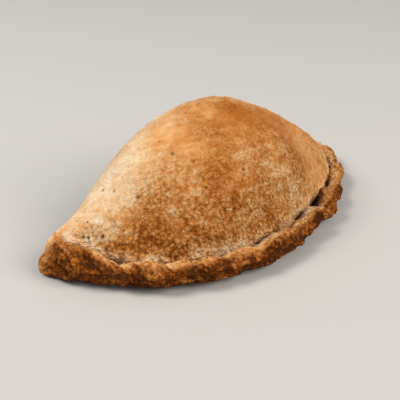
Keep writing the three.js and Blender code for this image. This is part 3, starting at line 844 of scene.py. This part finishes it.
def painted_bounce_strip():
    """Painted warm bounce light over the top of the rope and the dome's foot, unevenly, except where a
    patch darkens them.
    """
    rope = GOLDEN_ROPE * smooth(*GOLDEN_ROPE_HIGH, part) * smooth(*GOLDEN_ROPE_FROM, place_2d)
    middle_stretch = GOLDEN_MIDDLE * bell(place_2d, GOLDEN_MIDDLE_AT, GOLDEN_MIDDLE_REACH)
    dome = (GOLDEN_DOME + middle_stretch) * np.exp(-to_crease / GOLDEN_DOME_REACH)
    uneven = 1 + GOLDEN_UNEVEN * swells(skin, GOLDEN_SIZE, SEED["painted_bounce"])
    patched = np.where(in_rim, rim_patches, dome_patches)
    strip = (in_rim * rope + in_dome * dome) * uneven * off_tip
    return np.clip(strip * (1 - smooth(*GOLDEN_LOST, patched)), 0, GOLDEN_MOST)


painted_bounce = painted_bounce_strip()
print(f"golden up to {painted_bounce.max():.2f}")

# %% Hollow: painted shade in pits, tears and the crack in the crease
CRACK_LEAST, CRACK_MORE, CRACK_FADE, CRACK_SIZE, CRACK_WIDTH = 0.04, 0.30, (-0.2, 0.4), 9, 0.9
FULL_PIT, FULL_PULL = 1.2, 5  # a pit or tear this deep is fully dark
crack = smooth(*CRACK_FADE, swells(along_rim, CRACK_SIZE, SEED["cracks"]))[:, None]
crack = (CRACK_LEAST + CRACK_MORE * crack) * bell(to_crease, 0, CRACK_WIDTH)
hollow = np.clip(pit / FULL_PIT + pull / FULL_PULL, 0, 1) + crack * (in_dome | in_rim)
hollow = np.clip(hollow, 0, 1) * (in_dome | in_rim | in_fold)
print(f"mean hollow {hollow.mean():.3f}")

# %% Coarse: how grainy the skin is
LOW_COARSE, TOP_SMOOTHER, TOP_FADE = 1.42, 0.90, (1.19, 1.44)
COARSE_UNEVEN, COARSE_SIZE = 0.40, 17
SLIM_SMOOTHER, SLIM_SMOOTH_FADE = 0.50, (185, 240)
TIP_COARSE, TIP_COARSE_FADE = 0.65, (20, 62)
RIM_COARSE = 1.28
dome_coarse = LOW_COARSE - TOP_SMOOTHER * smooth(*TOP_FADE, round_2d)
dome_coarse = dome_coarse + COARSE_UNEVEN * swells(skin, COARSE_SIZE, SEED["coarseness"])
dome_coarse = dome_coarse * (1 - SLIM_SMOOTHER * smooth(*SLIM_SMOOTH_FADE, place_2d))
dome_coarse = dome_coarse * (TIP_COARSE + (1 - TIP_COARSE) * smooth(*TIP_COARSE_FADE, place_2d))
coarse = np.where(in_rim, RIM_COARSE, dome_coarse)
print(f"coarse from {coarse.min():.2f} to {coarse.max():.2f}")

# %% [markdown]
# ## The mesh
#
# The grid becomes rings of points between one point at each tip. Two triangles fill each cell,
# and a fan closes each tip, so the skin is one closed body. Whole arrays go into the mesh at
# once, which takes a moment where a loop over the points would take minutes.


# %% Rings of points into a closed mesh
def tip_to_tip(grid):
    """The grid as one list: the first tip, all the rings between, and the last tip."""
    return np.concatenate([grid[:1, 0], grid[1:-1].reshape(-1, *grid.shape[2:]), grid[-1:, 0]])


def ring_faces(rings, around):
    """Triangles (a, b, c) between neighbouring rings, and a fan of triangles at each tip."""
    ring, step = np.meshgrid(np.arange(rings - 1), np.arange(around), indexing="ij")
    here, beyond = 1 + ring * around, 1 + (ring + 1) * around
    following = (step + 1) % around
    first = np.stack([here + step, beyond + step, beyond + following], -1).reshape(-1, 3)
    second = np.stack([here + step, beyond + following, here + following], -1).reshape(-1, 3)
    step = np.arange(around)
    start = np.stack([np.zeros_like(step), 1 + step, 1 + (step + 1) % around], 1)
    final = 1 + (rings - 1) * around
    end = np.stack([final + step, np.full_like(step, final + around), final + (step + 1) % around], 1)
    return np.concatenate([start, first, second, end])


def mesh_object(name, points, faces):
    """A smooth-shaded mesh object from arrays of points in metres and of triangles."""
    mesh = bpy.data.meshes.new(name)
    mesh.vertices.add(len(points))
    mesh.vertices.foreach_set("co", points.astype(np.float32).ravel())
    mesh.loops.add(faces.size)
    mesh.loops.foreach_set("vertex_index", faces.astype(np.int32).ravel())
    mesh.polygons.add(len(faces))
    mesh.polygons.foreach_set("loop_start", np.arange(0, faces.size, 3, dtype=np.int32))
    mesh.polygons.foreach_set("loop_total", np.full(len(faces), 3, np.int32))
    mesh.update(calc_edges=True)
    mesh.validate()
    mesh.shade_smooth()
    made = bpy.data.objects.new(name, mesh)
    bpy.context.scene.collection.objects.link(made)
    return made


faces = ring_faces(SECTIONS - 1, skin.shape[1])
crust = mesh_object("calzone_crust", tip_to_tip(raised) * MM, faces)
for name, values in (("toast", toast), ("painted_bounce", painted_bounce), ("hollow", hollow), ("coarse", coarse)):
    values = np.broadcast_to(values, skin.shape[:2])
    crust.data.attributes.new(name, "FLOAT", "POINT").data.foreach_set(
        "value", tip_to_tip(values).astype(np.float32)
    )
print(crust.name, len(crust.data.vertices), "points,", len(crust.data.polygons), "triangles")

# %% [markdown]
# ## The crust's finish
#
# Baked dough is dry and only half matt, a little glossier on its blisters. Its finish is a graph of
# nodes from the object's own coordinates to the shader, because such patterns need no unwrapping
# and stay sharp however close one looks. Wiring it by hand in the node editor is good for trying
# things out. In code the same graph reads like a sum, once a few short tools make the nodes and
# their links.

# %% Nodes for a finish
MIX_FACTOR, MIX_FIRST, MIX_SECOND, MIX_RESULT = 0, 6, 7, 2  # a Mix node's sockets for colours


class Finish:
    """A new material, with short ways to add its nodes, feed them and calculate with them."""

    def __init__(self, name):
        self.material = bpy.data.materials.new(name)
        self.material.use_nodes = True
        self.tree = self.material.node_tree
        self.shader = self.tree.nodes["Principled BSDF"]

    def feed(self, node, inputs):
        """Sets each input, by name or number, to a number or a colour, or links a socket to it."""
        for key, value in inputs.items():
            if isinstance(value, (int, float, tuple)):
                node.inputs[key].default_value = value
            else:
                self.tree.links.new(value, node.inputs[key])

    def add(self, kind, inputs, **settings):
        """A new node of this kind, with these inputs and settings."""
        node = self.tree.nodes.new(kind)
        for key, value in settings.items():
            setattr(node, key, value)
        self.feed(node, inputs)
        return node

    def calc(self, operation, first, second):
        """A Math node of two sockets or numbers."""
        return self.add("ShaderNodeMath", {0: first, 1: second}, operation=operation).outputs[0]

    def sums(self, *terms):
        """Each pair of a socket and a weight, multiplied and added up."""
        total = self.calc("MULTIPLY", *terms[0])
        for source, weight in terms[1:]:
            total = self.calc("ADD", total, self.calc("MULTIPLY", source, weight))
        return total

    def fade(self, source, from_value, to_value):
        """A Map Range node that eases from 0 at one value of the source to 1 at the other."""
        inputs = {"Value": source, "From Min": from_value, "From Max": to_value}
        made = self.add("ShaderNodeMapRange", inputs, interpolation_type="SMOOTHSTEP")
        return made.outputs["Result"]

    def mix(self, factor, first, second):
        """A Mix node for colours: factor 0 gives the first socket or colour, 1 the second."""
        inputs = {MIX_FACTOR: factor, MIX_FIRST: first, MIX_SECOND: second}
        return self.add("ShaderNodeMix", inputs, data_type="RGBA").outputs[MIX_RESULT]


# %% Patterns: noise, cells and beads
LEAST_BEAD = 0.4  # the smallest bead's radius, as a share of the largest one's
PATTERN_MIDDLE = 0.5  # about the mean of a noise, and of the distance to a cell's centre


def noise(finish, where, scale, detail):
    """A Noise Texture's value, from 0 to 1."""
    inputs = {"Vector": where, "Scale": scale, "Detail": detail}
    return finish.add("ShaderNodeTexNoise", inputs).outputs["Fac"]


def cells(finish, where, scale):
    """A Voronoi Texture: the distance to the nearest cell's centre, and that cell's colour."""
    made = finish.add("ShaderNodeTexVoronoi", {"Vector": where, "Scale": scale}, feature="F1")
    return made.outputs["Distance"], made.outputs["Color"]


def beads(finish, where, scale, radius, share):
    """Round beads in the given share of the cells, eased from 1 at the centre to 0 outside.

    The cell's random red draws each bead's radius, from the least one up to the given one, and
    its random green draws whether the cell holds a bead.
    """
    distance, colour = cells(finish, where, scale)
    draw = finish.add("ShaderNodeSeparateColor", {"Color": colour})
    spread = finish.calc("MULTIPLY", draw.outputs["Red"], (1 - LEAST_BEAD) * radius)
    reach = finish.calc("ADD", spread, LEAST_BEAD * radius)
    held = finish.calc("LESS_THAN", draw.outputs["Green"], share)
    inside = finish.fade(finish.calc("DIVIDE", distance, reach), 1.0, 0.0)
    return finish.calc("MULTIPLY", inside, held)


# %% [markdown]
# The finest grain of a baked crust is made of small things that touch: blisters and grit stand up as
# round beads, cobbles lie between them, pinholes go in, and noise roughens all of it. One height is
# summed up from them, and the bump, the painted light on the crests and the painted shade in the gaps
# all follow that one height. Separate patterns for each would look like paint on top of the relief.

# %% Sizes of the grain
# Scales are in cells or waves for each metre, and bead radii in cells.
CLOUD = dict(scale=170, detail=3)
SPECKLE = dict(scale=520, detail=3)
GRAIN = dict(scale=1400, detail=2)
BLISTERS = dict(scale=330, radius=0.62, share=0.30)
GRIT = dict(scale=1000, radius=0.80, share=0.60)
PINHOLES = dict(scale=260, radius=0.24, share=0.15)
COBBLE_SCALE = 400
HEIGHTS = dict(blisters=0.7, cobbles=1.0, grit=0.60, speckle=1.2, grain=0.8, pinholes=-0.8)
print(f"grain of {len(HEIGHTS)} patterns, blisters {1000 / BLISTERS['scale']:.1f} mm apart")


# %% The grain
def grain_layers(finish, where):
    """The patterns that make up the grain, by the names that HEIGHTS gives them."""
    return dict(
        blisters=beads(finish, where, **BLISTERS),
        cobbles=finish.calc("SUBTRACT", PATTERN_MIDDLE, cells(finish, where, COBBLE_SCALE)[0]),
        grit=beads(finish, where, **GRIT),
        speckle=noise(finish, where, **SPECKLE),
        grain=noise(finish, where, **GRAIN),
        pinholes=beads(finish, where, **PINHOLES),
    )


# %% [markdown]
# A colour ramp turns toast into colour: cream, gold, orange brown and dark brown. The grain shifts the
# toast before the ramp, so the gaps between crumbs are darker than their crests, most of all where the
# crust is coarse and well toasted: painted shade in the gaps and painted light on the crests. Then the
# crests along the crease get painted warm bounce light, and the lowest gaps and the hollows are
# darkened with painted shade. Noise painted over an even colour would be simpler, but it would not
# follow the crumbs.

# %% How the grain shifts the toast, painting shade in its gaps and light on its crests
MEAN_HEIGHT = 1.10  # the grain's height where it leaves the toast as it is
# SHIFT_BY_HEIGHT paints shade in the grain's low gaps and light on its crests.
SHIFT_BY_SPECKLE, SHIFT_BY_GRAIN, SHIFT_BY_HEIGHT, SHIFT_BY_CLOUD = -0.10, -0.20, 0.23, 0.18
CRISP_EVERYWHERE, CRISP_BY_TOAST, CRISP_BY_COARSE = 0.25, 0.65, 0.25


def toast_shift(finish, layers, cloud, height, toast, coarse):
    """How far the grain shifts the toast: coarse x crispness x unevenness, and a broader cloud.

    Unevenness is a sum of how low the grain is, its speckle and its finest noise; how low it is makes
    gaps darker and crests paler, as painted shade and painted light. Crispness grows with toast and
    coarse.
    """
    speckle, grain, cloud = (
        finish.calc("SUBTRACT", pattern, PATTERN_MIDDLE)
        for pattern in (layers["speckle"], layers["grain"], cloud)
    )
    lowness = finish.calc("SUBTRACT", MEAN_HEIGHT, height)
    uneven = finish.sums(
        (speckle, SHIFT_BY_SPECKLE), (grain, SHIFT_BY_GRAIN), (lowness, SHIFT_BY_HEIGHT)
    )
    crispness = finish.sums((toast, CRISP_BY_TOAST), (coarse, CRISP_BY_COARSE))
    crispness = finish.calc("ADD", crispness, CRISP_EVERYWHERE)
    return finish.sums((cloud, SHIFT_BY_CLOUD), (finish.calc("MULTIPLY", coarse, uneven), crispness))


# %% Colours of the crust
RAMP = [
    (0.00, (0.76, 0.64, 0.48)),
    (0.20, (0.66, 0.485, 0.30)),
    (0.40, (0.545, 0.29, 0.115)),
    (0.55, (0.435, 0.178, 0.046)),
    (0.70, (0.31, 0.094, 0.012)),
    (0.85, (0.165, 0.038, 0.004)),
    (1.00, (0.050, 0.012, 0.001)),
]
# Warm gold painted on crests along the crease, standing for bounced light.
BOUNCE_COLOUR = (0.74, 0.36, 0.125, 1)
# Painted shade in pits, tears, the crease's crack and pinholes.
HOLLOW_SHADE_COLOUR = (0.085, 0.026, 0.004, 1)
# Painted shade in the lowest gaps of the grain.
GAP_SHADE_COLOUR = (0.26, 0.080, 0.014, 1)
# Heights of the grain from which it gets no painted bounce light, or no painted gap shade, to where it
# wholly does.
BOUNCE_HEIGHTS = (0.40, 1.30)
GAP_HEIGHTS, GAP_SHARE = (0.95, 0.45), 0.15
# How far painted shade darkens the hollows, and the pinholes.
HOLLOW_SHARE, PINHOLE_SHARE = 0.95, 0.75
print(len(RAMP), "colours from pale dough to dark toast")


# %% The crust's colour
def toast_colour(finish, toast):
    """A Color Ramp node with the stops of RAMP."""
    ramp = finish.add("ShaderNodeValToRGB", {"Fac": toast})
    stops = ramp.color_ramp.elements
    for stop, (position, colour) in zip(stops, (RAMP[0], RAMP[-1])):
        stop.position = position
        stop.color = (*colour, 1)
    for position, colour in RAMP[1:-1]:
        stops.new(position).color = (*colour, 1)
    return ramp.outputs["Color"]


def crust_colour(finish, toast, painted_bounce, hollow, coarse, height, pinholes):
    """The toast's colour, with painted bounce light on crests by the crease, painted shade in the gaps,
    and the hollows and pinholes darkest of all with painted shade.
    """
    bounce_lit = finish.calc("MULTIPLY", painted_bounce, finish.fade(height, *BOUNCE_HEIGHTS))
    gap_share = finish.calc("MULTIPLY", coarse, GAP_SHARE)
    gap_shade = finish.calc("MULTIPLY", finish.fade(height, *GAP_HEIGHTS), gap_share)
    pinhole_shade = finish.calc("MULTIPLY", pinholes, PINHOLE_SHARE)
    dark = finish.calc("MAXIMUM", finish.calc("MULTIPLY", hollow, HOLLOW_SHARE), pinhole_shade)
    colour = toast_colour(finish, toast)
    for amount, other in ((bounce_lit, BOUNCE_COLOUR), (gap_shade, GAP_SHADE_COLOUR), (dark, HOLLOW_SHADE_COLOUR)):
        colour = finish.mix(amount, colour, other)
    return colour


# %% The crust material
BUMP_DEPTH = 0.0010
ROUGHNESS, BLISTER_GLOSS, SPECULAR = 0.75, 0.25, 0.12
GLOSS_TINT = (1.0, 0.72, 0.42, 1)


def crust_material():
    """Baked dough: toast through a ramp, painted bounce light on crests, painted shade in gaps and
    hollows, and a fine bump.
    """
    finish = Finish("baked_crust")
    where = finish.add("ShaderNodeTexCoord", {}).outputs["Object"]
    toast, painted_bounce, hollow, coarse = (
        finish.add("ShaderNodeAttribute", {}, attribute_name=name).outputs["Fac"]
        for name in ("toast", "painted_bounce", "hollow", "coarse")
    )
    layers = grain_layers(finish, where)
    height = finish.sums(*((layers[name], weight) for name, weight in HEIGHTS.items()))
    shift = toast_shift(finish, layers, noise(finish, where, **CLOUD), height, toast, coarse)
    toast = finish.calc("ADD", toast, shift)
    colour = crust_colour(finish, toast, painted_bounce, hollow, coarse, height, layers["pinholes"])
    gloss = finish.calc("MULTIPLY", layers["blisters"], BLISTER_GLOSS)
    relief_height = finish.calc("MULTIPLY", coarse, height)
    bump_inputs = {"Height": relief_height, "Strength": 1.0, "Distance": BUMP_DEPTH}
    inputs = {
        "Base Color": colour,
        "Roughness": finish.calc("SUBTRACT", ROUGHNESS, gloss),
        "Specular IOR Level": SPECULAR,
        "Specular Tint": GLOSS_TINT,
        "Normal": finish.add("ShaderNodeBump", bump_inputs).outputs["Normal"],
    }
    finish.feed(finish.shader, inputs)
    return finish.material


crust.data.materials.append(crust_material())
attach(crust, "root")
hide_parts("calzone")
print("materials:", [m.name for m in crust.data.materials])

# %% [markdown]
# ## Floor, light and camera
#
# A plain, pale floor, slightly warm, lets the crust stand out. One large soft light comes from the
# upper left, a broad and warmer one fills the shade from the front right, and an even sky gives
# the rest. The camera is close, so the near tip looms a little, and it looks down from 27 degrees.

# %% Viewing directions
VIEW_AZIMUTH = 47  # degrees from +Y, turning towards +X, in which the camera looks
CAMERA_ELEVATION = 27.01
CAMERA_DISTANCE = 492
CAMERA_ROLL = 0.72
CAMERA_LENS = 63
AIM = (-2.0, -2.0, 0)  # the point that it looks at, in mm right of the plan's origin, beyond it, up


def toward(right, away, up):
    """A direction given as the viewer sees it, turned into the part's own axes."""
    c, s = math.cos(math.radians(VIEW_AZIMUTH)), math.sin(math.radians(VIEW_AZIMUTH))
    return Vector((c * right + s * away, -s * right + c * away, up))


# %% The floor
FLOOR_SIDE = 40.0
FLOOR_COLOUR, FLOOR_ROUGHNESS = (0.43, 0.415, 0.395, 1), 0.8


def plane(name, side, height):
    """A square of the given side, level, at the given height, centred on the origin."""
    half = side / 2
    corners = [(x, y, height) for x, y in ((-half, -half), (half, -half), (half, half), (-half, half))]
    mesh = bpy.data.meshes.new(name)
    mesh.from_pydata(corners, [], [(0, 1, 2, 3)])
    made = bpy.data.objects.new(name, mesh)
    bpy.context.scene.collection.objects.link(made)
    return made


floor = plane("floor", FLOOR_SIDE, 0.0)
floor_finish = Finish("pale_floor")
floor_finish.feed(floor_finish.shader, {"Base Color": FLOOR_COLOUR, "Roughness": FLOOR_ROUGHNESS})
floor.data.materials.append(floor_finish.material)
print("floor:", FLOOR_SIDE, "m across")


# %% The lights
def soft_light(name, direction, distance, size, power, colour):
    """A square area light that looks at the origin from the given direction as the viewer sees it."""
    data = bpy.data.lights.new(name, "AREA")
    data.shape = "SQUARE"
    data.size = size
    data.energy = power
    data.color = colour
    made = bpy.data.objects.new(name, data)
    ray = toward(*direction).normalized()
    made.location = ray * distance
    made.rotation_euler = ray.to_track_quat("Z", "Y").to_euler()
    bpy.context.scene.collection.objects.link(made)
    return made


KEY = dict(direction=(-0.65, -0.14, 0.74), distance=2.4, size=1.0, power=52.5, colour=(1.0, 0.98, 0.95))
FILL = dict(direction=(0.70, -0.38, 0.60), distance=2.8, size=1.6, power=75, colour=(1.0, 0.94, 0.87))
lights = [soft_light("key", **KEY), soft_light("fill", **FILL)]
SKY_COLOUR, SKY_STRENGTH = (0.94, 0.97, 1.03, 1), 0.45
world = bpy.data.worlds.new("soft_sky")
world.use_nodes = True
sky = world.node_tree.nodes["Background"]
sky.inputs["Color"].default_value = SKY_COLOUR
sky.inputs["Strength"].default_value = SKY_STRENGTH
bpy.context.scene.world = world
bpy.context.scene.view_settings.view_transform = "Standard"
print("lights:", [light.name for light in lights])

# %% The camera
camera_data = bpy.data.cameras.new("camera")
camera_data.lens = CAMERA_LENS
camera = bpy.data.objects.new("camera", camera_data)
elevation, roll = math.radians(CAMERA_ELEVATION), math.radians(CAMERA_ROLL)
right = toward(1, 0, 0)
forward = toward(0, math.cos(elevation), -math.sin(elevation))
upright = right.cross(forward)
turned_right = math.cos(roll) * right + math.sin(roll) * upright
turned_up = math.cos(roll) * upright - math.sin(roll) * right
aim = Vector([a - m for a, m in zip(toward(*AIM), middle)]) * MM
place_at = aim - forward * CAMERA_DISTANCE * MM
axes = Matrix([turned_right, turned_up, -forward]).transposed()
camera.matrix_world = Matrix.Translation(place_at) @ axes.to_4x4()
bpy.context.scene.collection.objects.link(camera)
bpy.context.scene.camera = camera
print("camera at", [round(v, 3) for v in place_at])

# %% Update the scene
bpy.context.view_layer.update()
